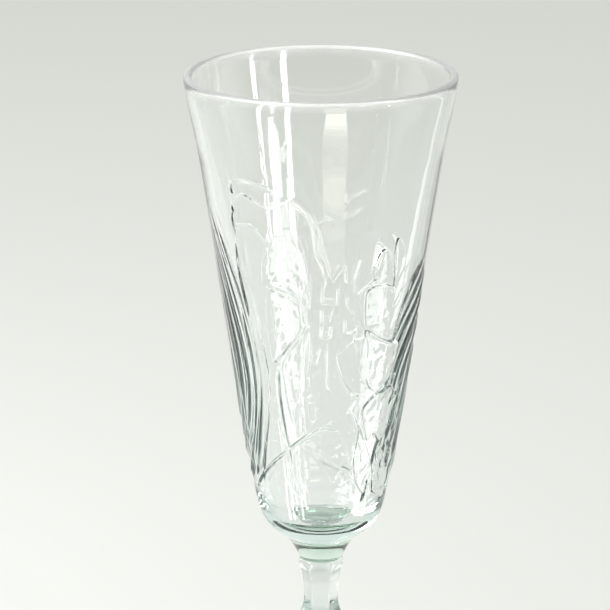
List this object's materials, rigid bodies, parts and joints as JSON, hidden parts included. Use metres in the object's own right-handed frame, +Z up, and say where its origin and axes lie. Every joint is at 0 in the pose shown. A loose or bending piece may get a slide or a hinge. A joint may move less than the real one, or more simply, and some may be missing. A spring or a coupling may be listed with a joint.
{
  "type": "champagne flute",
  "caption": "Clear pressed-glass stemmed flute for sparkling drinks: tall tapering bowl with a raised flower relief, faceted stem and round foot.",
  "frame": {"origin": "centre of the resting plane under the foot", "axes": "+Z up along the glass's axis to the rim; -Y is the front, where one of the two flowers shows, turned a little towards +X"},
  "size_m": [0.062, 0.062, 0.185],
  "materials": {
    "bowl": "clear fire-polished glass with a raised pressed relief",
    "collar": "clear fire-polished glass",
    "stem": "clear fire-polished glass, faceted",
    "foot": "clear fire-polished glass"
  },
  "bodies": {
    "root": {"bowl": "bowl", "collar": "collar", "stem": "stem", "foot": "foot"}
  },
  "joints": []
}
